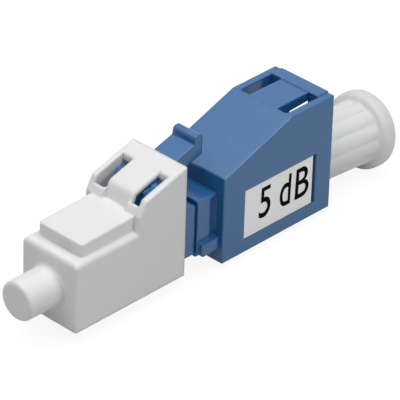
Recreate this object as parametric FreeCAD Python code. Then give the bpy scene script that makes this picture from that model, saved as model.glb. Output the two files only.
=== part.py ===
import FreeCAD, Part
import math
import os

# A fixed fibre attenuator of the LC plug and socket kind, with both of its dust covers on.
# X runs along the fibre, from the plug to the socket. Y runs across, with the label on the -Y side.
# Z is up. The origin is the middle of the receptacle housing's underside. Millimetres and degrees.

# Receptacle housing
housing_length = 12.13
housing_width = 6.25
housing_height = 10.14
housing_brow_height = 7.58
housing_slope_run = 7.325
housing_side_wall = 0.655
housing_roof = 0.73
housing_roof_draft = 2.8
housing_front_wall = 1.35
housing_edge_round = 0.06
housing_brow_round = 0.14
axis_height = 3.65
port_size = 4.66
latch_space_setback = 1.65
rear_frame_depth = 1.18
keyway_width = 2.9
rear_bar_rise = 0.1
roof_window_length = 3.54
roof_window_corner = 0.2
roof_tongue_width = 2.88

# Value label and the pocket that it is stuck in
pocket_setback = 2.37
pocket_length = 7.99
pocket_bottom = 1.19
pocket_height = 4.39
pocket_depth = 0.3
label_thickness = 0.25
label_end_gap = 0.32
label_edge_gap = 0.03

# Sleeve holder: the collar and lugs seen in the neck, and the tube inside the socket
collar_size = 4.84
collar_height = 4.97
collar_length = 1.51
collar_edge_round = 0.2
seam_width = 0.1
seat_size = 4.0
neck_size = 4.4
neck_length = 0.72
neck_plate = 0.08
neck_groove_cover = 0.3
neck_gap = 0.04
lug_span = 5.6
lug_length = 1.9
lug_bottom = 1.3
lug_height = 1.05
lug_edge_round = 0.12
tube_diameter = 2.3
tube_lip = 0.4
tube_mouth_chamfer = 0.15
spigot_length = 0.9
spigot_gap = 0.05

# Ferrule with its doped fibre, the split sleeve and the metal flange
ferrule_diameter = 1.25
ferrule_protrusion = 1.72
ferrule_tip_taper = 0.35
ferrule_tip_flat = 0.9
mating_depth = 9.78
fibre_diameter = 0.125
fibre_bond = 0.001
sleeve_length = 6.8
sleeve_wall = 0.185
sleeve_slit = 0.35
sleeve_gap = 0.005
sleeve_float = 0.06
sleeve_end_gap = 0.1
flange_rim_diameter = 3.0
flange_rim_length = 1.2
flange_barrel_diameter = 2.0
flange_barrel_length = 4.6
flange_bond = 0.005
flange_gap = 0.05

# Plug shell
plug_size = 4.52
plug_length = 12.5
plug_edge_round = 0.25
plug_front_chamfer = 0.2
plug_bore_diameter = 3.0
plug_bore_depth = 5.4

# Latch: a root, a low run, a rising arm with an ear on each side, and a thumb tab
latch_width = 2.34
root_setback = 1.78
root_rise = 0.51
root_gap = 0.05
foot_setback = 0.6
run_thickness = 0.62
run_slope = 6.0
run_length = 4.7
arm_slope = 16.2
arm_thickness = 1.31
arm_start_setback = 5.7
arm_bend_round = 0.35
ear_span = 4.0
ear_setback = 3.45
ear_length = 1.45
ear_depth = 1.15
ear_rise = 0.02
ear_ramp = 45.0
ear_crest_length = 0.6
ear_side_gap = 0.06
ear_crest_round = 0.25
tab_gap = 0.55
tab_length = 0.87
tab_top_height = 11.09
tab_foot_height = 10.4
tab_hollow = 0.13
tab_crest_round = 0.28

# Front dust cap
cap_fit_gap = 0.12
cap_end_gap = 0.1
cap_setback = 1.705
cap_side_wall = 0.508
cap_bottom_wall = 0.62
cap_shelf_wall = 0.57
cap_front_wall = 0.633
cap_roof_wall = 0.43
cap_latch_headroom = 0.21
cap_edge_round = 0.45
cap_corner_round = 0.2
cap_rim_round = 0.12
cap_break_round = 0.3
bridge_break_round = 0.8
cap_steep_wall = 0.4
steep_setback = 4.58
steep_angle = 70.0
rail_angle = 61.0
rail_edge_round = 0.15
pad_width = 4.56
pad_setback = 1.1
pad_rise = 1.08
pad_slope = 2.0
pad_wall = 0.45
pad_rear_setback = 4.97
pad_edge_round = 0.08
pad_corner_round = 0.2
bridge_width = 2.8
window_length = 2.98
window_rear_gap = 0.25
window_edge_round = 0.3
window_rib_length = 0.4
window_rib_gap = 0.06
sill_rise = 0.64
sill_overlap = 0.2
nose_diameter = 3.27
nose_length = 3.39
nose_end_round = 0.32
nose_foot_round = 0.25
nose_bore_diameter = 1.75
nose_bore_gap = 0.8

# Rear dust plug, which sits loose in the socket and hangs down a little
plug_droop = 4.5
droop_setback = 4.28
knob_diameter = 5.34
knob_setback = 0.35
knob_length = 6.1
ridge_count = 12
ridge_height = 0.24
ridge_bite = 0.03
ridge_turn = 5.4
rim_diameter = 6.47
rim_thickness = 1.52
rim_front_round = 0.35
rim_rear_round = 0.6
rim_neck_round = 0.4
rim_edge_steps = 4
shank_diameter = 3.8
shank_length = 7.8
shank_bore_diameter = 3.0
shank_bore_depth = 6.2
shank_chamfer = 0.25

# Places worked out from the sizes above
front_x = -housing_length / 2
rear_x = housing_length / 2
slope_x = front_x + housing_slope_run
slope_angle = math.atan2(housing_height - housing_brow_height, housing_slope_run)
frame_x = rear_x - rear_frame_depth
latch_space_half = housing_width / 2 - housing_side_wall
port_top = axis_height + port_size / 2
neck_x = front_x - neck_length
collar_x = neck_x - collar_length
spigot_x = collar_x - spigot_length
inner_wall_x = front_x + housing_front_wall
ferrule_radius = ferrule_diameter / 2
ferrule_rear_x = rear_x - mating_depth
sleeve_x = ferrule_rear_x - sleeve_length / 2
sleeve_end_x = ferrule_rear_x + sleeve_length / 2
sleeve_inner = ferrule_radius + sleeve_gap
sleeve_outer = sleeve_inner + sleeve_wall
holder_bore = sleeve_outer + sleeve_float
tube_end_x = sleeve_end_x + sleeve_end_gap + tube_lip
plug_x = collar_x - plug_length
plug_top = axis_height + plug_size / 2
ferrule_tip_x = plug_x - ferrule_protrusion
rim_front_x = spigot_x - flange_rim_length
barrel_x = rim_front_x - flange_barrel_length
root_x = plug_x + root_setback
root_z = plug_top + root_rise
foot_x = plug_x + foot_setback
latch_half = latch_width / 2
tab_rear_x = front_x - tab_gap
tab_x = tab_rear_x - tab_length
ear_x = collar_x - ear_setback
ear_front_x = ear_x - ear_length
cap_x = collar_x - cap_setback
cap_inner_x = plug_x - cap_end_gap
cap_front_x = cap_inner_x - cap_front_wall
cap_half = plug_size / 2 + cap_fit_gap + cap_side_wall
cavity_half = plug_size / 2 + cap_fit_gap
cavity_bottom = axis_height - plug_size / 2 - cap_fit_gap
cavity_top = plug_top + cap_fit_gap
cap_bottom = cavity_bottom - cap_bottom_wall
shelf_z = cavity_top + cap_shelf_wall
steep_x = cap_x - steep_setback
pad_x = cap_front_x + pad_setback
pad_rear_x = cap_x - pad_rear_setback
window_x = ear_x + window_rear_gap
window_front_x = window_x - window_length
droop_x = rear_x - droop_setback


def rise(slope):
    return math.tan(math.radians(slope))


def arm_top(x):
    """Height of the latch arm's upper face, which climbs to the foot of the thumb tab."""
    return tab_foot_height + (x - tab_x) * rise(arm_slope)


def run_middle(x):
    """Height of the middle of the latch's low run, which starts at the root."""
    return root_z + (x - root_x) * rise(run_slope)


def ceiling(x):
    """Height of the underside of the housing's flat roof, which thickens to the front by its draft."""
    return housing_height - housing_roof - (frame_x - x) * rise(housing_roof_draft)


def roof_top(x):
    """Height of the cap's sloping roof, which follows the arm beneath it."""
    return arm_top(x) + cap_latch_headroom + cap_roof_wall / math.cos(math.radians(arm_slope))


def roof_under(x):
    return arm_top(x) + cap_latch_headroom


def pad_top(x):
    """Height of the raised pad on the cap's shelf, which climbs gently to the rear."""
    return shelf_z + pad_rise + (x - pad_x) * rise(pad_slope)


def meets_roof(x, z, slope, roof):
    """Where a face that goes up through (x, z) at a slope meets a line along the cap's roof."""
    return x + (roof(x) - z) / (rise(slope) - rise(arm_slope))


def round_corner(before, corner, after, radius):
    """The arc that rounds a corner, tangent to the lines to the points before and after it."""
    back = before - corner
    back.normalize()
    ahead = after - corner
    ahead.normalize()
    inward = back + ahead
    inward.normalize()
    half_angle = back.getAngle(ahead) / 2
    reach = radius / math.tan(half_angle)
    middle = corner + inward * (radius / math.sin(half_angle) - radius)
    return Part.Arc(corner + back * reach, middle, corner + ahead * reach).toShape()


def closed_wire(outline):
    """A closed wire in the XZ plane. A corner is (x, z), or (x, z, radius) where an arc rounds it."""
    corners = [FreeCAD.Vector(corner[0], 0, corner[1]) for corner in outline]
    ends = []
    edges = []
    for index, corner in enumerate(corners):
        if len(outline[index]) == 2:
            ends.append((corner, corner))
            continue
        after = corners[(index + 1) % len(corners)]
        arc = round_corner(corners[index - 1], corner, after, outline[index][2])
        ends.append((arc.firstVertex().Point, arc.lastVertex().Point))
        edges.append(arc)
    for index, (start, _) in enumerate(ends):
        edges.append(Part.makeLine(ends[index - 1][1], start))
    return Part.Wire(Part.sortEdges(edges)[0])


def prism(outline, y0, y1):
    """A solid of a side outline, carried across from y0 to y1."""
    face = Part.Face(closed_wire(outline))
    face.translate(FreeCAD.Vector(0, y0, 0))
    return face.extrude(FreeCAD.Vector(0, y1 - y0, 0))


def centred(outline, half_width):
    return prism(outline, -half_width, half_width)


def bar(x0, x1, half_width, z0, z1):
    return centred([(x0, z0), (x1, z0), (x1, z1), (x0, z1)], half_width)


def both_sides(shape):
    """A shape and its copy across the middle plane."""
    return [shape, shape.mirror(FreeCAD.Vector(), FreeCAD.Vector(0, 1, 0))]


def side_bar(x0, x1, y0, y1, z0, z1):
    return Part.makeBox(x1 - x0, y1 - y0, z1 - z0, FreeCAD.Vector(x0, y0, z0))


def square_bar(x0, x1, size):
    return bar(x0, x1, size / 2, axis_height - size / 2, axis_height + size / 2)


def rod(x0, x1, radius):
    """A cylinder along the optical axis."""
    return Part.makeCylinder(radius, x1 - x0, FreeCAD.Vector(x0, 0, axis_height), FreeCAD.Vector(1, 0, 0))


def cross_pin(x, z, radius, half_width):
    """A cylinder across the part."""
    start = FreeCAD.Vector(x, -half_width, z)
    return Part.makeCylinder(radius, 2 * half_width, start, FreeCAD.Vector(0, 1, 0))


def turned(outline):
    """A solid of revolution about the optical axis, of an outline in x and radius."""
    face = Part.Face(closed_wire(outline))
    face.translate(FreeCAD.Vector(0, 0, axis_height))
    return face.revolve(FreeCAD.Vector(0, 0, axis_height), FreeCAD.Vector(1, 0, 0), 360)


def near(value, target):
    return abs(value - target) < 1e-4


def lies_along(edge, axis):
    """Whether an edge is straight and runs along X, Y or Z."""
    box = edge.BoundBox
    lengths = {"x": box.XLength, "y": box.YLength, "z": box.ZLength}
    return all(near(length, 0) for name, length in lengths.items() if name != axis)


def rounded(shape, radius, chosen):
    return shape.makeFillet(radius, [edge for edge in shape.Edges if chosen(edge)])


def rounded_each(shape, softness):
    """Rounds every edge by the radius that softness gives for it, or leaves it sharp at 0."""
    document = FreeCAD.newDocument()
    base = document.addObject("Part::Feature", "base")
    base.Shape = shape
    fillet = document.addObject("Part::Fillet", "fillet")
    fillet.Base = base
    radii = [softness(edge) for edge in shape.Edges]
    fillet.Edges = [(number, radius, radius) for number, radius in enumerate(radii, 1) if radius > 0]
    document.recompute()
    result = fillet.Shape.copy()
    FreeCAD.closeDocument(document.Name)
    return result


def chamfered(shape, size, chosen):
    return shape.makeChamfer(size, [edge for edge in shape.Edges if chosen(edge)])


def receptacle_housing():
    """The blue moulded body: a socket for a mating plug, open at the rear and at two roof windows."""
    half = housing_width / 2
    side = [(front_x, 0), (rear_x, 0), (rear_x, housing_height), (slope_x, housing_height),
            (front_x, housing_brow_height, housing_brow_round)]
    body = centred(side, half)
    body = rounded(body, housing_edge_round,
                   lambda edge: not lies_along(edge, "y") or near(edge.BoundBox.XMax, rear_x)
                   or near(edge.BoundBox.ZMax, 0))
    frame_ceiling = ceiling(frame_x)
    rear_bar = bar(frame_x, rear_x, latch_space_half, frame_ceiling, housing_height + rear_bar_rise)
    body = body.fuse(rear_bar)

    port = square_bar(inner_wall_x, rear_x + port_size, port_size)
    neck_hole = square_bar(front_x - port_size, inner_wall_x, neck_size + 2 * neck_gap)
    slope_under = housing_brow_height - housing_roof / math.cos(slope_angle)
    start_x = front_x + latch_space_setback
    start_z = slope_under + latch_space_setback * math.tan(slope_angle)
    flat_x = front_x + (ceiling(front_x) - slope_under) / (math.tan(slope_angle) - rise(housing_roof_draft))
    latch_space = centred([(start_x, port_top), (frame_x, port_top), (frame_x, frame_ceiling),
                           (flat_x, ceiling(flat_x)), (start_x, start_z)], latch_space_half)
    keyway = bar(frame_x, rear_x + port_size, keyway_width / 2, axis_height, frame_ceiling)
    window_start_x = frame_x - roof_window_length
    window = side_bar(window_start_x, frame_x, roof_tongue_width / 2, latch_space_half,
                      frame_ceiling - housing_roof, housing_height + housing_roof)
    window = rounded(window, roof_window_corner,
                     lambda edge: lies_along(edge, "z") and near(edge.CenterOfMass.x, window_start_x))
    pocket_x = front_x + pocket_setback
    pocket = side_bar(pocket_x, pocket_x + pocket_length, -half - pocket_depth, -half + pocket_depth,
                      pocket_bottom, pocket_bottom + pocket_height)
    return body.cut([port, neck_hole, latch_space, keyway, pocket] + both_sides(window))


def value_label():
    """The white stuck-on label in the housing's side pocket, short of the pocket's rear end."""
    x0 = front_x + pocket_setback + label_edge_gap
    x1 = front_x + pocket_setback + pocket_length - label_end_gap
    floor_y = -housing_width / 2 + pocket_depth
    return side_bar(x0, x1, floor_y - label_thickness, floor_y,
                    pocket_bottom + label_edge_gap, pocket_bottom + pocket_height - label_edge_gap)


def sleeve_holder():
    """The inner moulding: spigot, seat and grooved collar towards the plug, lugs, and the sleeve's tube."""
    half = collar_size / 2
    foot_z = axis_height - half
    top_z = foot_z + collar_height
    collar = rounded(bar(collar_x + seam_width, front_x, half, foot_z, top_z), collar_edge_round,
                     lambda edge: lies_along(edge, "x"))
    groove = side_bar(neck_x, front_x - neck_plate, neck_size / 2, collar_size, 0, top_z - neck_groove_cover)
    seat = square_bar(collar_x, collar_x + seam_width, seat_size)
    neck = square_bar(front_x, inner_wall_x, neck_size)
    lug_x = front_x - lug_length
    lugs = bar(lug_x, front_x, lug_span / 2, lug_bottom, lug_bottom + lug_height)
    lugs = rounded(lugs, lug_edge_round, lambda edge: near(edge.CenterOfMass.x, lug_x))
    tube_radius = tube_diameter / 2
    tube = turned([(inner_wall_x, 0), (tube_end_x, 0), (tube_end_x, tube_radius - tube_mouth_chamfer),
                   (tube_end_x - tube_mouth_chamfer, tube_radius), (inner_wall_x, tube_radius)])
    spigot = rod(spigot_x, collar_x, flange_rim_diameter / 2 - spigot_gap)
    solid = collar.cut(both_sides(groove)).fuse([seat, neck, lugs, tube, spigot])
    sleeve_bore = rod(spigot_x - spigot_length, sleeve_end_x + sleeve_end_gap, holder_bore)
    mouth = rod(sleeve_end_x, tube_end_x + tube_lip, sleeve_inner + sleeve_wall / 2)
    return solid.cut([sleeve_bore, mouth]).removeSplitter()


def ferrule():
    """The zirconia ferrule, ground to a taper at both ends, with a fine hole along its axis."""
    flat = ferrule_tip_flat / 2
    hole = fibre_diameter / 2 + fibre_bond
    return turned([(ferrule_tip_x, hole), (ferrule_tip_x, flat),
                   (ferrule_tip_x + ferrule_tip_taper, ferrule_radius),
                   (ferrule_rear_x - ferrule_tip_taper, ferrule_radius),
                   (ferrule_rear_x, flat), (ferrule_rear_x, hole)])


def doped_fibre():
    """The length of light-absorbing fibre that is bonded in the ferrule."""
    return rod(ferrule_tip_x, ferrule_rear_x, fibre_diameter / 2)


def ferrule_flange():
    """The turned metal flange: a barrel, a rim held in the shell and a boss that keeps the sleeve in."""
    hole = ferrule_radius + flange_bond
    barrel = flange_barrel_diameter / 2
    rim = flange_rim_diameter / 2 - flange_gap
    boss = holder_bore - flange_gap
    boss_end_x = sleeve_x - sleeve_end_gap
    return turned([(barrel_x, hole), (barrel_x, barrel), (rim_front_x, barrel), (rim_front_x, rim),
                   (spigot_x, rim), (spigot_x, boss), (boss_end_x, boss), (boss_end_x, hole)])


def split_sleeve():
    """The zirconia alignment sleeve, a tube with one slit along its top."""
    tube = rod(sleeve_x, sleeve_end_x, sleeve_outer)
    bore = rod(sleeve_x, sleeve_end_x, sleeve_inner)
    slit = bar(sleeve_x, sleeve_end_x, sleeve_slit / 2, axis_height, axis_height + 2 * sleeve_outer)
    return tube.cut([bore, slit])


def plug_shell():
    """The square front shell, bored for the mating sleeve, with the foot that the latch springs from."""
    body = rounded(square_bar(plug_x, collar_x, plug_size), plug_edge_round,
                   lambda edge: lies_along(edge, "x"))
    body = chamfered(body, plug_front_chamfer, lambda edge: near(edge.BoundBox.XMax, plug_x))
    half_run = run_thickness / 2
    foot_top = root_z + half_run
    foot = centred([(foot_x, plug_top - root_rise), (root_x, plug_top - root_rise), (root_x, foot_top),
                    (foot_x + root_rise, foot_top), (foot_x, plug_top)], latch_half)
    socket = cross_pin(root_x, root_z, half_run + root_gap, plug_size)
    front_bore = rod(plug_x, plug_x + plug_bore_depth, plug_bore_diameter / 2)
    barrel_bore = rod(plug_x, collar_x, flange_barrel_diameter / 2 + flange_gap)
    rim_pocket = rod(rim_front_x, collar_x, flange_rim_diameter / 2)
    return body.fuse(foot).cut([socket, front_bore, barrel_bore, rim_pocket])


def latch_ears():
    """The two catches beside the arm, which stand up in the cap's windows, and the web that carries them."""
    inner_y = bridge_width / 2 + ear_side_gap
    crest = arm_top(ear_x) + ear_rise
    crest_x = ear_x - ear_crest_length
    ramp_foot = crest - (crest_x - ear_front_x) * rise(ear_ramp)
    low_front = (ear_front_x, arm_top(ear_front_x) - ear_depth)
    low_rear = (ear_x, arm_top(ear_x) - ear_depth)
    ear = prism([low_front, low_rear, (ear_x, crest, ear_crest_round), (crest_x, crest, ear_crest_round),
                 (ear_front_x, ramp_foot)], inner_y, ear_span / 2)
    web = centred([low_front, low_rear, (ear_x, arm_top(ear_x)), (ear_front_x, arm_top(ear_front_x))],
                  inner_y)
    return both_sides(ear) + [web]


def latch_lever():
    """The springy latch lever: round root, low run, rising arm, two ears and an upturned thumb tab."""
    half_run = run_thickness / 2
    bend_x = root_x + run_length
    arm_x = tab_x - arm_start_setback
    under_bend_x = bend_x + half_run
    under_arm_x = arm_x + half_run
    slant = math.radians(run_slope)
    lean_x = half_run * math.sin(slant)
    lean_z = half_run * math.cos(slant)
    side = [(root_x - lean_x, root_z + lean_z),
            (bend_x, run_middle(bend_x) + half_run, arm_bend_round),
            (arm_x, arm_top(arm_x), arm_bend_round),
            (tab_x, tab_foot_height),
            (tab_x + tab_hollow, tab_top_height, tab_crest_round),
            (tab_rear_x, tab_top_height, tab_crest_round),
            (tab_rear_x, arm_top(tab_rear_x) - arm_thickness),
            (under_arm_x, arm_top(under_arm_x) - arm_thickness, arm_bend_round),
            (under_bend_x, run_middle(under_bend_x) - half_run, arm_bend_round),
            (root_x + lean_x, root_z - lean_z)]
    root = cross_pin(root_x, root_z, half_run, latch_half)
    return centred(side, latch_half).fuse([root] + latch_ears()).removeSplitter()


def cap_bridge(foot_z, floor_z):
    """The strip of roof between the cap's windows, with a steep front and well rounded edges."""
    half = bridge_width / 2
    toe_x = steep_x - (floor_z - foot_z) / rise(steep_angle)
    break_x = meets_roof(steep_x, floor_z, steep_angle, roof_top)
    bridge = centred([(toe_x, foot_z), (cap_x, foot_z), (cap_x, roof_top(cap_x)),
                      (break_x, roof_top(break_x), bridge_break_round)], half)
    return rounded(bridge, window_edge_round,
                   lambda edge: near(edge.BoundBox.YLength, 0) and not near(edge.BoundBox.ZMax, foot_z)
                   and not near(edge.BoundBox.XMin, cap_x))


def cap_side(foot_z, floor_z):
    """One side of the cap's head: a rail along the roof and a low sill, with one slanting front."""
    break_x = meets_roof(pad_rear_x, floor_z, rail_angle, roof_top)
    rail = prism([(pad_rear_x, foot_z), (cap_x, foot_z), (cap_x, roof_top(cap_x)),
                  (break_x, roof_top(break_x), cap_break_round), (pad_rear_x, floor_z)],
                 cavity_half, cap_half)
    rail = rounded(rail, rail_edge_round,
                   lambda edge: near(edge.BoundBox.YMin, cap_half) and not near(edge.BoundBox.ZMax, foot_z)
                   and not near(edge.BoundBox.XMin, cap_x))
    sill_x = pad_rear_x + sill_rise / rise(rail_angle)
    sill = prism([(pad_rear_x, foot_z), (window_x, foot_z), (window_x, floor_z + sill_rise),
                  (sill_x, floor_z + sill_rise, cap_rim_round), (pad_rear_x, floor_z)],
                 bridge_width / 2 - sill_overlap, cavity_half)
    return rail.fuse(sill)


def cap_shelf():
    """The cap's box, softest along its upper edges, with the raised pad on it."""
    def softness(edge):
        box = edge.BoundBox
        if near(box.ZMin, shelf_z) and not near(box.XMin, cap_x):
            return cap_edge_round
        if near(box.XMax, cap_front_x) and near(box.ZMax, shelf_z):
            return cap_corner_round
        return 0

    box = rounded_each(bar(cap_front_x, cap_x, cap_half, cap_bottom, shelf_z), softness)
    pad = centred([(pad_x, cavity_top), (pad_rear_x, cavity_top), (pad_rear_x, pad_top(pad_rear_x)),
                   (pad_x, pad_top(pad_x))], pad_width / 2)
    pad = rounded(pad, pad_corner_round,
                  lambda edge: lies_along(edge, "z") and near(edge.CenterOfMass.x, pad_x))
    pad = rounded(pad, pad_edge_round,
                  lambda edge: not near(edge.BoundBox.XMin, pad_rear_x)
                  and all(near(vertex.Z, pad_top(vertex.X)) for vertex in edge.Vertexes))
    return box.fuse(pad)


def window_rib():
    """The rib that deepens the roof behind a window and just clears the latch's ear."""
    rib_z = arm_top(ear_x) + ear_rise + window_rib_gap
    rear = window_x + window_rib_length
    bury = cap_roof_wall / 2
    return prism([(window_x, rib_z), (rear, rib_z), (rear, roof_under(rear) + bury),
                  (window_x, roof_under(window_x) + bury)], latch_half + cap_fit_gap, cavity_half)


def cap_nose():
    """The round nose over the ferrule, with a rounded end and a hollow round at its foot."""
    nose_x = cap_front_x - nose_length
    radius = nose_diameter / 2
    root = radius + 2 * nose_foot_round
    return turned([(nose_x, 0), (nose_x, radius, nose_end_round), (cap_front_x, radius, nose_foot_round),
                   (cap_front_x, root), (cap_inner_x, root), (cap_inner_x, 0)])


def front_dust_cap():
    """The white cap over the plug: a box with a raised pad, a stepped roof with two windows, and a nose."""
    floor_z = pad_top(pad_rear_x)
    foot_z = shelf_z - cap_edge_round
    floor = bar(pad_rear_x, steep_x, pad_width / 2, foot_z, floor_z)
    lintel = centred([(window_x, foot_z), (cap_x, foot_z), (cap_x, roof_top(cap_x)),
                      (window_x, roof_top(window_x), window_edge_round)], cavity_half)
    solid = cap_shelf().fuse([floor, cap_bridge(foot_z, floor_z), lintel, cap_nose()]
                             + both_sides(cap_side(foot_z, floor_z)))

    main = bar(cap_inner_x, cap_x, cavity_half, cavity_bottom, cavity_top)
    inner_foot_z = floor_z - pad_wall
    inner_steep_x = steep_x + cap_steep_wall / math.sin(math.radians(steep_angle))
    inner_foot_x = inner_steep_x - pad_wall / rise(steep_angle)
    inner_break_x = meets_roof(inner_foot_x, inner_foot_z, steep_angle, roof_under)
    under_roof = centred([(inner_foot_x, cavity_top), (cap_x, cavity_top), (cap_x, roof_under(cap_x)),
                          (inner_break_x, roof_under(inner_break_x)), (inner_foot_x, inner_foot_z)],
                         cavity_half)
    run_x = foot_x - cap_fit_gap
    under_pad = centred([(run_x, cavity_top), (inner_foot_x, cavity_top), (inner_foot_x, inner_foot_z),
                         (run_x, pad_top(run_x) - pad_wall)], latch_half + cap_fit_gap)
    nose_bore = rod(ferrule_tip_x - nose_bore_gap, plug_x, nose_bore_diameter / 2)
    window = side_bar(window_front_x, window_x, bridge_width / 2, cavity_half, inner_foot_z, roof_top(cap_x))
    solid = solid.cut([main, under_roof, under_pad, nose_bore] + both_sides(window))
    return solid.fuse(both_sides(window_rib())).removeSplitter()


def arc_points(x, radius, size, start, end):
    """Points of an outline along an arc about (x, radius), from one angle to another, in short chords."""
    shares = [step / rim_edge_steps for step in range(rim_edge_steps + 1)]
    turns = [math.radians(start + (end - start) * share) for share in shares]
    return [(x + size * math.cos(turn), radius + size * math.sin(turn)) for turn in turns]


def ridged_grip(x0, x1, crest, valley):
    """The knob's grip: a bar of round ridges that meet in sharp valleys."""
    def rim_point(turn, radius):
        angle = math.radians(turn)
        return FreeCAD.Vector(x0, radius * math.cos(angle), axis_height + radius * math.sin(angle))

    half_step = 180 / ridge_count
    ridges = []
    for step in range(ridge_count):
        turn = ridge_turn + 2 * half_step * step
        ridge = Part.Arc(rim_point(turn - half_step, valley), rim_point(turn, crest),
                         rim_point(turn + half_step, valley))
        ridges.append(ridge.toShape())
    return Part.Face(Part.Wire(ridges)).extrude(FreeCAD.Vector(x1 - x0, 0, 0))


def rear_dust_plug():
    """The white knob in the socket: a hollow shank, a ridged grip and a flared rim, hanging at its droop."""
    knob_x = rear_x + knob_setback
    rim_x = knob_x + knob_length
    end_x = rim_x + rim_thickness
    shank_x = knob_x - shank_length
    bore_end_x = shank_x + shank_bore_depth
    shank = shank_diameter / 2
    bore = shank_bore_diameter / 2
    crest = knob_diameter / 2
    core = crest - ridge_height
    rim = rim_diameter / 2
    neck_curve = arc_points(rim_x - rim_neck_round, core + rim_neck_round, rim_neck_round, -90, 0)
    front_curve = arc_points(rim_x + rim_front_round, rim - rim_front_round, rim_front_round, 180, 90)
    rear_curve = arc_points(end_x - rim_rear_round, rim - rim_rear_round, rim_rear_round, 90, 0)
    solid = turned([(shank_x, bore), (shank_x, shank - shank_chamfer), (shank_x + shank_chamfer, shank),
                    (knob_x, shank), (knob_x, core)] + neck_curve + front_curve + rear_curve
                   + [(end_x, 0), (bore_end_x, 0), (bore_end_x, bore)])
    grip = ridged_grip(knob_x, rim_x + rim_front_round, crest, core - ridge_bite)
    solid = solid.fuse(grip).removeSplitter()
    solid.rotate(FreeCAD.Vector(droop_x, 0, axis_height), FreeCAD.Vector(0, 1, 0), plug_droop)
    return solid


PIECES = [receptacle_housing, value_label, sleeve_holder, ferrule, doped_fibre, ferrule_flange, split_sleeve,
          plug_shell, latch_lever, front_dust_cap, rear_dust_plug]

os.makedirs("parts", exist_ok=True)
for piece in PIECES:
    shape = piece()
    shape.exportStep(os.path.join("parts", piece.__name__ + ".step"))
    print(piece.__name__, len(shape.Solids), "solid, valid", shape.isValid(), round(shape.Volume, 3), "mm3")
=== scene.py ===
import math

import bpy
from mathutils import Matrix, Vector


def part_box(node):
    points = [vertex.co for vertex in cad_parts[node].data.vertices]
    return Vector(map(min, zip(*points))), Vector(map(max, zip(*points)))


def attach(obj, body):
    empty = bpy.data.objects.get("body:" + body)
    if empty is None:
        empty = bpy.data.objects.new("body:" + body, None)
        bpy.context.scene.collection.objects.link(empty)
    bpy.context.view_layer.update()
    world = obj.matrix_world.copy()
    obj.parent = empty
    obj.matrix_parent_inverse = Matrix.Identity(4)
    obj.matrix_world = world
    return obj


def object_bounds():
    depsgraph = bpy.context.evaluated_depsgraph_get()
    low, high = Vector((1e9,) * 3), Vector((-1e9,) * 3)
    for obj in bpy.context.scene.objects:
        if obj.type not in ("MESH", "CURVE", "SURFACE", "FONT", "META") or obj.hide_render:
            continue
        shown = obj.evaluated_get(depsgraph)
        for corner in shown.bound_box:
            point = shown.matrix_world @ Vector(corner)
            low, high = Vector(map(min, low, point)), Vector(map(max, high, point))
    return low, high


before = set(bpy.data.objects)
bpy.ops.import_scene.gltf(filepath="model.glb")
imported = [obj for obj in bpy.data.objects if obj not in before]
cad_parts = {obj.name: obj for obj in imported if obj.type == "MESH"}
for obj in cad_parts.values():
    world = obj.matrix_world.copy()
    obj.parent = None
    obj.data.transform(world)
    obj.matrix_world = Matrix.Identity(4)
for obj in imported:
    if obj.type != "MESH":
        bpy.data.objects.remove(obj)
cad_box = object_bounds()

# Doped fibre: a hair of silica glass, doped so that it swallows part of the light that passes. It is drawn
# from a heated rod and bonded into the hole along the ferrule, and its ends are polished with the ferrule's.
MM = 0.001
streak_width = 0.03 * MM
streak_length = 2.0 * MM


def linear(hex_colour):
    """An sRGB hex colour as the linear colour that a shader takes."""
    def straight(level):
        return level / 12.92 if level <= 0.04045 else ((level + 0.055) / 1.055) ** 2.4
    return tuple(straight(int(hex_colour[i:i + 2], 16) / 255) for i in (1, 3, 5)) + (1.0,)


def node(tree, kind, settings=None, links=None):
    """Adds a shader node. Settings are properties, or sockets by name or place; links feed its sockets."""
    made = tree.nodes.new(kind)
    for name, value in (settings or {}).items():
        if isinstance(name, int) or name in made.inputs:
            made.inputs[name].default_value = value
        else:
            setattr(made, name, value)
    for name, source in (links or {}).items():
        tree.links.new(source, made.inputs[name])
    return made


def new_finish(name):
    """A new material, its empty node tree, and the place on the piece that its patterns are worked from."""
    material = bpy.data.materials.new(name)
    material.use_nodes = True
    tree = material.node_tree
    tree.nodes.clear()
    place = node(tree, "ShaderNodeTexCoord").outputs["Object"]
    return material, tree, place


def dress(piece, material):
    """Gives a piece its finish in place of any plain one it came with."""
    piece.data.materials.clear()
    piece.data.materials.append(material)


# Drawn silica glass: fire-smooth, so it is clear with a sharp gleam, and only long faint streaks from the
# drawing show. They are a few hundredths of a millimetre wide on the real fibre and are drawn at that size.
silica, tree, place = new_finish("drawn_silica_glass")
along = node(tree, "ShaderNodeMapping", {"Scale": (streak_width / streak_length, 1.0, 1.0)},
             {"Vector": place})
streaks = node(tree, "ShaderNodeTexNoise", {"Scale": 1 / streak_width, "Detail": 1.0},
               {"Vector": along.outputs[0]})
roughness = node(tree, "ShaderNodeMapRange", {"To Min": 0.01, "To Max": 0.06},
                 {"Value": streaks.outputs["Fac"]})
shader = node(tree, "ShaderNodeBsdfPrincipled",
              {"Base Color": linear("#F1F4F6"), "IOR": 1.458, "Transmission Weight": 1.0},
              {"Roughness": roughness.outputs[0]})
node(tree, "ShaderNodeOutputMaterial", links={"Surface": shader.outputs[0]})
dress(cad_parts["doped_fibre"], silica)

# Ferrule and split sleeve: the ferrule is the stiff white ceramic rod that carries the fibre, and the sleeve
# is the slit tube that lines it up with the next ferrule. Both are pressed from zirconia powder, fired and
# ground round.
ring_spacing = 0.06 * MM
ring_depth = 0.002 * MM
cloud_width = 0.8 * MM
light_reach = 0.3 * MM
wave_turn = 20  # a wave pattern of scale 1 turns through this many radians in a metre

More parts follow.
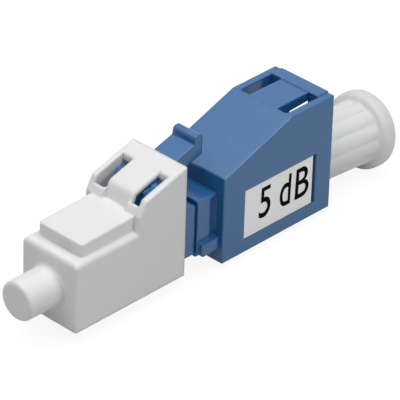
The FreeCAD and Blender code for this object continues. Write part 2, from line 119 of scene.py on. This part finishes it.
# Ground and polished zirconia: dense and bright, with a hard gleam and rings left by the grinding wheel. The
# rings are a few thousandths of a millimetre apart, too fine to show, so they are drawn 0.06 mm apart.
zirconia, tree, place = new_finish("ground_zirconia")
rings = node(tree, "ShaderNodeTexWave",
             {"bands_direction": "X", "Scale": math.tau / (wave_turn * ring_spacing),
              "Distortion": 1.5, "Detail": 2.0}, {"Vector": place})
roughness = node(tree, "ShaderNodeMapRange", {"To Min": 0.1, "To Max": 0.18},
                 {"Value": rings.outputs["Fac"]})
grooves = node(tree, "ShaderNodeBump", {"Strength": 0.15, "Distance": ring_depth},
               {"Height": rings.outputs["Fac"]})
clouds = node(tree, "ShaderNodeTexNoise", {"Scale": 1 / cloud_width, "Detail": 2.0}, {"Vector": place})
body = node(tree, "ShaderNodeMix", {"data_type": "RGBA", "A": linear("#E4E0D5"), "B": linear("#EFECE3")},
            {"Factor": clouds.outputs["Fac"]})
shader = node(tree, "ShaderNodeBsdfPrincipled",
              {"IOR": 2.15, "Subsurface Weight": 0.15, "Subsurface Radius": (1.0, 0.9, 0.75),
               "Subsurface Scale": light_reach},
              {"Base Color": body.outputs["Result"], "Roughness": roughness.outputs[0],
               "Normal": grooves.outputs[0]})
node(tree, "ShaderNodeOutputMaterial", links={"Surface": shader.outputs[0]})
for name in ("ferrule", "split_sleeve"):
    dress(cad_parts[name], zirconia)

# Ferrule flange: the metal collar that holds the ferrule between the plug shell and the sleeve holder. It is
# turned from stainless steel bar and pressed onto the ferrule.
feed = 0.08 * MM
groove_depth = 0.004 * MM

# Turned stainless steel: a bright grey metal with fine rings from the cutting tool, which draw its gleam out
# along the axis. A finishing cut feeds about 0.03 mm a turn, and the rings are drawn 0.08 mm apart to show.
steel, tree, place = new_finish("turned_stainless_steel")
rings = node(tree, "ShaderNodeTexWave",
             {"bands_direction": "X", "Scale": math.tau / (wave_turn * feed),
              "Distortion": 0.6, "Detail": 1.0}, {"Vector": place})
roughness = node(tree, "ShaderNodeMapRange", {"To Min": 0.2, "To Max": 0.34},
                 {"Value": rings.outputs["Fac"]})
grooves = node(tree, "ShaderNodeBump", {"Strength": 0.3, "Distance": groove_depth},
               {"Height": rings.outputs["Fac"]})
body = node(tree, "ShaderNodeMix", {"data_type": "RGBA", "A": linear("#B5B3AF"), "B": linear("#C6C4C0")},
            {"Factor": rings.outputs["Fac"]})
shader = node(tree, "ShaderNodeBsdfPrincipled", {"Metallic": 1.0},
              {"Base Color": body.outputs["Result"], "Roughness": roughness.outputs[0],
               "Normal": grooves.outputs[0]})
node(tree, "ShaderNodeOutputMaterial", links={"Surface": shader.outputs[0]})
dress(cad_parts["ferrule_flange"], steel)

# Plug shell, latch and sleeve holder: the three inner mouldings of blue PBT. The shell is the square plug,
# the latch springs from its front end, and the holder carries the split sleeve and locks the shell to the
# housing.
grain_width = 0.09 * MM
grain_depth = 0.006 * MM
drift_width = 3.0 * MM
edge_round = 0.2 * MM

# Moulded blue PBT: a dense, coloured plastic from a spark-eroded mould, so its skin is satin with a very fine
# even grain, and its edges are rounded about 0.2 mm and catch a light line. The grain is about 0.03 mm across
# and is drawn at 0.09 mm. Slow drifts of the pigment are 3 mm wide.
blue, tree, place = new_finish("moulded_blue_pbt")
grain = node(tree, "ShaderNodeTexNoise", {"Scale": 1 / grain_width, "Detail": 1.0}, {"Vector": place})
roughness = node(tree, "ShaderNodeMapRange", {"To Min": 0.18, "To Max": 0.26},
                 {"Value": grain.outputs["Fac"]})
edges = node(tree, "ShaderNodeBevel", {"samples": 8, "Radius": edge_round})
skin = node(tree, "ShaderNodeBump", {"Strength": 0.08, "Distance": grain_depth},
            {"Height": grain.outputs["Fac"], "Normal": edges.outputs[0]})
drift = node(tree, "ShaderNodeTexNoise", {"Scale": 1 / drift_width, "Detail": 2.0}, {"Vector": place})
body = node(tree, "ShaderNodeMix", {"data_type": "RGBA", "A": linear("#266298"), "B": linear("#2A679D")},
            {"Factor": drift.outputs["Fac"]})
shader = node(tree, "ShaderNodeBsdfPrincipled", {"IOR": 1.53},
              {"Base Color": body.outputs["Result"], "Roughness": roughness.outputs[0],
               "Normal": skin.outputs[0]})
node(tree, "ShaderNodeOutputMaterial", links={"Surface": shader.outputs[0]})
for name in ("sleeve_holder", "plug_shell", "latch_lever"):
    dress(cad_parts[name], blue)

# Receptacle housing: the socket body, moulded in one from the same blue PBT, with the sloping brow over the
# latch, two roof windows and a pocket for the label. It is pushed over the holder until the holder's side
# lugs snap in.
housing_low, housing_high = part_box("receptacle_housing")
line_front = housing_low.x + 1.865 * MM
line_rear = housing_high.x - 4.965 * MM
line_floor = housing_high.z - 2.84 * MM
line_solid = 0.02 * MM
line_edge = 0.05 * MM
line_ends = (
    ("X", "GREATER_THAN", line_front),
    ("X", "LESS_THAN", line_rear),
    ("Z", "GREATER_THAN", line_floor),
)

# The same blue with a painted shade line along the middle of the brow: the shade of the slight step where
# two blocks of the mould meet. The line is 0.03 mm wide on a real moulding, and is drawn 0.1 mm wide with
# soft edges to show.
housing_blue = blue.copy()
housing_blue.name = "moulded_blue_pbt_with_painted_shade_line"
tree = housing_blue.node_tree
shader = tree.nodes["Principled BSDF"]
place = node(tree, "ShaderNodeTexCoord").outputs["Object"]
spot = node(tree, "ShaderNodeSeparateXYZ", links={0: place})
aside = node(tree, "ShaderNodeMath", {"operation": "ABSOLUTE"}, {0: spot.outputs["Y"]})
line = node(tree, "ShaderNodeMapRange",
            {"From Min": line_solid, "From Max": line_edge, "To Min": 1.0, "To Max": 0.0},
            {"Value": aside.outputs[0]})
for axis, side, end in line_ends:
    within = node(tree, "ShaderNodeMath", {"operation": side, 1: end}, {0: spot.outputs[axis]})
    line = node(tree, "ShaderNodeMath", {"operation": "MULTIPLY"},
                {0: line.outputs[0], 1: within.outputs[0]})
plain = shader.inputs["Base Color"].links[0].from_socket
# Painted shade: a darker blue along the brow's middle stands for the shade of the mould's step.
painted_shade_line = node(tree, "ShaderNodeMix", {"data_type": "RGBA", "B": linear("#21588A")},
              {"Factor": line.outputs[0], "A": plain})
tree.links.new(painted_shade_line.outputs["Result"], shader.inputs["Base Color"])
dress(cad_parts["receptacle_housing"], housing_blue)

# Value label: a white film label, die cut with square corners and stuck into the pocket in the housing's
# near side. It carries only the value of the loss, printed in black.
ripple_length = 0.5 * MM
ripple_depth = 0.01 * MM

# Coated polyester film: bright white and nearly smooth, with a faint ripple about 0.5 mm long, under a clear
# coat that lays a thin even gleam over it.
film, tree, place = new_finish("coated_white_film")
ripple = node(tree, "ShaderNodeTexNoise", {"Scale": 1 / ripple_length, "Detail": 3.0}, {"Vector": place})
roughness = node(tree, "ShaderNodeMapRange", {"To Min": 0.32, "To Max": 0.42},
                 {"Value": ripple.outputs["Fac"]})
skin = node(tree, "ShaderNodeBump", {"Strength": 0.1, "Distance": ripple_depth},
            {"Height": ripple.outputs["Fac"]})
body = node(tree, "ShaderNodeMix", {"data_type": "RGBA", "A": linear("#F6F6F5"), "B": linear("#FBFBFA")},
            {"Factor": ripple.outputs["Fac"]})
shader = node(tree, "ShaderNodeBsdfPrincipled",
              {"IOR": 1.57, "Coat Weight": 1.0, "Coat Roughness": 0.05, "Coat IOR": 1.6},
              {"Base Color": body.outputs["Result"], "Roughness": roughness.outputs[0],
               "Normal": skin.outputs[0]})
node(tree, "ShaderNodeOutputMaterial", links={"Surface": shader.outputs[0]})
dress(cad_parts["value_label"], film)

# Value mark: the figure and unit of the loss, printed on the label in black ink about a hundredth of a
# millimetre thick. The lettering is narrow and widely spaced, so each letter is set to its own width, and its
# bowl, which ends at its waist, is drawn up from the plain type's share of the height to the printed one's.
label_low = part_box("value_label")[0]
mark_foot = label_low.z + 1.04 * MM
mark_height = 2.74 * MM
ink_thickness = 0.01 * MM
type_depth = 1.0  # the type's own depth, which is pressed down to the ink's thickness
stroke_gain = 0.007  # each stroke's edges move out by this share of the type's size
lean = 0.04  # the letters' tops lean over by this share of their height
# Each letter, its two ends in millimetres from the label's front end, and its waist in the type and in print.
mark_letters = (
    ("5", 1.625, 2.92, 0.633, 0.66),
    ("d", 3.985, 5.25, 0.678, 0.745),
    ("B", 5.705, 7.26, 0.507, 0.515),
)
corners = []
faces = []
for letter, left, right, type_waist, waist in mark_letters:
    curve = bpy.data.curves.new("letter", "FONT")
    curve.body = letter
    curve.extrude = type_depth / 2
    curve.offset = stroke_gain
    curve.shear = lean
    cut = bpy.data.objects.new("letter", curve)
    shape = bpy.data.meshes.new_from_object(cut)
    low = [min(v.co[axis] for v in shape.vertices) for axis in range(3)]
    high = [max(v.co[axis] for v in shape.vertices) for axis in range(3)]
    first = len(corners)
    for v in shape.vertices:
        across, up, out = [(v.co[axis] - low[axis]) / (high[axis] - low[axis]) for axis in range(3)]
        if up < type_waist:
            up = up * waist / type_waist
        else:
            up = 1 - (1 - up) * (1 - waist) / (1 - type_waist)
        corners.append((label_low.x + (left + across * (right - left)) * MM,
                        label_low.y - out * ink_thickness,
                        mark_foot + up * mark_height))
    faces += [tuple(first + corner for corner in face.vertices) for face in shape.polygons]
    bpy.data.objects.remove(cut)
mesh = bpy.data.meshes.new("value_mark")
mesh.from_pydata(corners, [], faces)
mark = bpy.data.objects.new("value_mark", mesh)
bpy.context.scene.collection.objects.link(mark)

# Thermal transfer ink: a dull black with a soft speckle where the ribbon let go unevenly, about 0.1 mm
# across. It is so thin and dry that it hardly gleams.
speckle_width = 0.1 * MM
ink, tree, place = new_finish("thermal_transfer_black")
speckle = node(tree, "ShaderNodeTexNoise", {"Scale": 1 / speckle_width, "Detail": 2.0}, {"Vector": place})
roughness = node(tree, "ShaderNodeMapRange", {"To Min": 0.5, "To Max": 0.7},
                 {"Value": speckle.outputs["Fac"]})
body = node(tree, "ShaderNodeMix", {"data_type": "RGBA", "A": linear("#000000"), "B": linear("#060607")},
            {"Factor": speckle.outputs["Fac"]})
shader = node(tree, "ShaderNodeBsdfPrincipled", {"IOR": 1.5, "Specular IOR Level": 0.02},
              {"Base Color": body.outputs["Result"], "Roughness": roughness.outputs[0]})
node(tree, "ShaderNodeOutputMaterial", links={"Surface": shader.outputs[0]})
dress(mark, ink)
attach(mark, "attenuator")

# Front dust cap: the cover over the plug, moulded in one from white polypropylene, with a nose to pull it by
# and a bridge over the latch. It slides on along the fibre and is held by its fit on the plug.
grain_width = 0.12 * MM
grain_depth = 0.006 * MM
mottle_width = 1.5 * MM
edge_round = 0.3 * MM
light_reach = 0.4 * MM

# Moulded polypropylene: smooth and satin, and light goes a little way into it, so its rounded edges and its
# shadows are soft. Its faint mottle is about 1.5 mm wide, and the grain of the polished mould, 0.02 mm, is
# drawn at 0.12 mm.
white_cap, tree, place = new_finish("moulded_white_polypropylene")
grain = node(tree, "ShaderNodeTexNoise", {"Scale": 1 / grain_width, "Detail": 1.0}, {"Vector": place})
roughness = node(tree, "ShaderNodeMapRange", {"To Min": 0.4, "To Max": 0.48},
                 {"Value": grain.outputs["Fac"]})
edges = node(tree, "ShaderNodeBevel", {"samples": 8, "Radius": edge_round})
skin = node(tree, "ShaderNodeBump", {"Strength": 0.05, "Distance": grain_depth},
            {"Height": grain.outputs["Fac"], "Normal": edges.outputs[0]})
mottle = node(tree, "ShaderNodeTexNoise", {"Scale": 1 / mottle_width, "Detail": 2.0}, {"Vector": place})
body = node(tree, "ShaderNodeMix", {"data_type": "RGBA", "A": linear("#E3E3E3"), "B": linear("#E7E7E7")},
            {"Factor": mottle.outputs["Fac"]})
shader = node(tree, "ShaderNodeBsdfPrincipled",
              {"IOR": 1.49, "Subsurface Weight": 0.3, "Subsurface Radius": (1.0, 1.0, 0.95),
               "Subsurface Scale": light_reach},
              {"Base Color": body.outputs["Result"], "Roughness": roughness.outputs[0],
               "Normal": skin.outputs[0]})
node(tree, "ShaderNodeOutputMaterial", links={"Surface": shader.outputs[0]})
dress(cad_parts["front_dust_cap"], white_cap)

# Rear dust plug: the soft stopper in the socket, moulded in one from white polyethylene, with a ridged grip
# and a round rim to pull it by. It is held in the socket by its squeeze.
ripple_length = 0.2 * MM
ripple_depth = 0.01 * MM
cloud_width = 1.0 * MM
light_reach = 20.0 * MM

# Moulded polyethylene: soft, waxy and slightly cloudy, so light spreads right through it and fills its own
# shadows. The cloudiness is about 1 mm wide, and the wax-like skin ripples at about 0.2 mm.
white_plug, tree, place = new_finish("moulded_white_polyethylene")
ripple = node(tree, "ShaderNodeTexNoise", {"Scale": 1 / ripple_length, "Detail": 1.0}, {"Vector": place})
roughness = node(tree, "ShaderNodeMapRange", {"To Min": 0.46, "To Max": 0.56},
                 {"Value": ripple.outputs["Fac"]})
skin = node(tree, "ShaderNodeBump", {"Strength": 0.05, "Distance": ripple_depth},
            {"Height": ripple.outputs["Fac"]})
clouds = node(tree, "ShaderNodeTexNoise", {"Scale": 1 / cloud_width, "Detail": 3.0}, {"Vector": place})
body = node(tree, "ShaderNodeMix", {"data_type": "RGBA", "A": linear("#E8E8E8"), "B": linear("#ECECEC")},
            {"Factor": clouds.outputs["Fac"]})
shader = node(tree, "ShaderNodeBsdfPrincipled",
              {"IOR": 1.51, "Subsurface Weight": 0.65, "Subsurface Radius": (1.0, 1.0, 1.0),
               "Subsurface Scale": light_reach},
              {"Base Color": body.outputs["Result"], "Roughness": roughness.outputs[0],
               "Normal": skin.outputs[0]})
node(tree, "ShaderNodeOutputMaterial", links={"Surface": shader.outputs[0]})
dress(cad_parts["rear_dust_plug"], white_plug)

# Table: a sheet of matt white paper that the part lies on, larger than the view so that it is the background
# too. To the camera it is just short of white by itself, and the light on it makes up the rest, so that it
# keeps the part's shadow. Gloss sees it half by itself and half by that light.
table_side = 3000 * MM
tooth_width = 0.4 * MM
camera_glow = 0.9
gloss_glow = 0.45
half = table_side / 2
floor = cad_box[0].z
mesh = bpy.data.meshes.new("table")
mesh.from_pydata([(-half, -half, floor), (half, -half, floor), (half, half, floor), (-half, half, floor)], [],
                 [(0, 1, 2, 3)])
table = bpy.data.objects.new("table", mesh)
bpy.context.scene.collection.objects.link(table)

# Matt paper: no gloss, and a fine tooth about 0.4 mm wide that only just varies its white. It lights the part
# as a pale grey would, so that the part's undersides stay in shade.
paper, tree, place = new_finish("matt_white_paper")
tooth = node(tree, "ShaderNodeTexNoise", {"Scale": 1 / tooth_width, "Detail": 2.0}, {"Vector": place})
tone = node(tree, "ShaderNodeMix", {"data_type": "RGBA", "A": linear("#BFBFBF"), "B": linear("#C5C5C5")},
            {"Factor": tooth.outputs["Fac"]})
look = node(tree, "ShaderNodeBsdfDiffuse", links={"Color": tone.outputs["Result"]})
path = node(tree, "ShaderNodeLightPath")
seen = node(tree, "ShaderNodeMath", {"operation": "MAXIMUM"},
            {0: path.outputs["Is Camera Ray"], 1: path.outputs["Is Transmission Ray"]})
white_looks = (
    (path.outputs["Is Glossy Ray"], "#BCBCBC", gloss_glow),
    (seen.outputs[0], "#656565", camera_glow),
)
for ray, colour, strength in white_looks:
    lit = node(tree, "ShaderNodeBsdfDiffuse", {"Color": linear(colour)})
    glow = node(tree, "ShaderNodeEmission", {"Strength": strength})
    white = node(tree, "ShaderNodeAddShader", links={0: lit.outputs[0], 1: glow.outputs[0]})
    look = node(tree, "ShaderNodeMixShader", links={0: ray, 1: look.outputs[0], 2: white.outputs[0]})
node(tree, "ShaderNodeOutputMaterial", links={"Surface": look.outputs[0]})
dress(table, paper)

# Studio: a white room that the camera and the gloss see as white, and that gives only a little light of its
# own. A wide soft box hangs over the part. A small one at the near side fills the near faces and draws the
# light line on the edges.
room_light = 0.1
room_white = 1.0
# Each lamp, its place and its side in millimetres, and its power in watts.
lamps = (
    ("soft_box_over", (-65.0, 0.0, 495.0), 700.0, 3.2),
    ("soft_box_near", (80.0, -330.0, 295.0), 60.0, 0.35),
)
world = bpy.data.worlds.new("studio")
bpy.context.scene.world = world
world.use_nodes = True
tree = world.node_tree
tree.nodes.clear()
path = node(tree, "ShaderNodeLightPath")
mirrored = node(tree, "ShaderNodeMath", {"operation": "MAXIMUM"},
                {0: path.outputs["Is Glossy Ray"], 1: path.outputs["Is Transmission Ray"]})
seen = node(tree, "ShaderNodeMath", {"operation": "MAXIMUM"},
            {0: path.outputs["Is Camera Ray"], 1: mirrored.outputs[0]})
dim = node(tree, "ShaderNodeBackground", {"Color": linear("#FFFFFF"), "Strength": room_light})
bright = node(tree, "ShaderNodeBackground", {"Color": linear("#FFFFFF"), "Strength": room_white})
room = node(tree, "ShaderNodeMixShader", links={0: seen.outputs[0], 1: dim.outputs[0], 2: bright.outputs[0]})
node(tree, "ShaderNodeOutputWorld", links={"Surface": room.outputs[0]})
for name, spot, side, power in lamps:
    lamp = bpy.data.lights.new(name, "AREA")
    lamp.shape = "SQUARE"
    lamp.size = side * MM
    lamp.energy = power
    stand = bpy.data.objects.new(name, lamp)
    stand.location = Vector(spot) * MM
    stand.rotation_euler = (-stand.location).to_track_quat("-Z", "Y").to_euler()
    bpy.context.scene.collection.objects.link(stand)

# Camera: a long lens from the near side in front of the part, looking down on it at the photograph's angle,
# with the small roll and the off-centre aim that its frame has.
azimuth = math.radians(-46.896)
elevation = math.radians(32.131)
roll = math.radians(1.85)
distance = 304.886 * MM
aim = Vector((-6.015 * MM, 0.0, 0.0))
aim_across = -0.532 * MM
aim_up = -3.704 * MM
nearest = 10 * MM
sensor = 36.0  # in millimetres, as the lens is
picture_pixels = 400
focal_pixels = 3947.839
outward = math.cos(elevation)
back = Vector((math.sin(azimuth) * outward, -math.cos(azimuth) * outward, math.sin(elevation)))
level = Vector((math.cos(azimuth), math.sin(azimuth), 0.0))
upright = back.cross(level)
right = level * math.cos(roll) + upright * math.sin(roll)
up = upright * math.cos(roll) - level * math.sin(roll)
eye = aim + back * distance - right * aim_across - up * aim_up
lens = bpy.data.cameras.new("camera")
lens.sensor_width = sensor
lens.lens = sensor * focal_pixels / picture_pixels
lens.clip_start = nearest
camera = bpy.data.objects.new("camera", lens)
camera.matrix_world = Matrix.LocRotScale(eye, Matrix((right, up, back)).transposed(), None)
bpy.context.scene.collection.objects.link(camera)
bpy.context.scene.camera = camera
bpy.context.scene.view_settings.view_transform = "Standard"
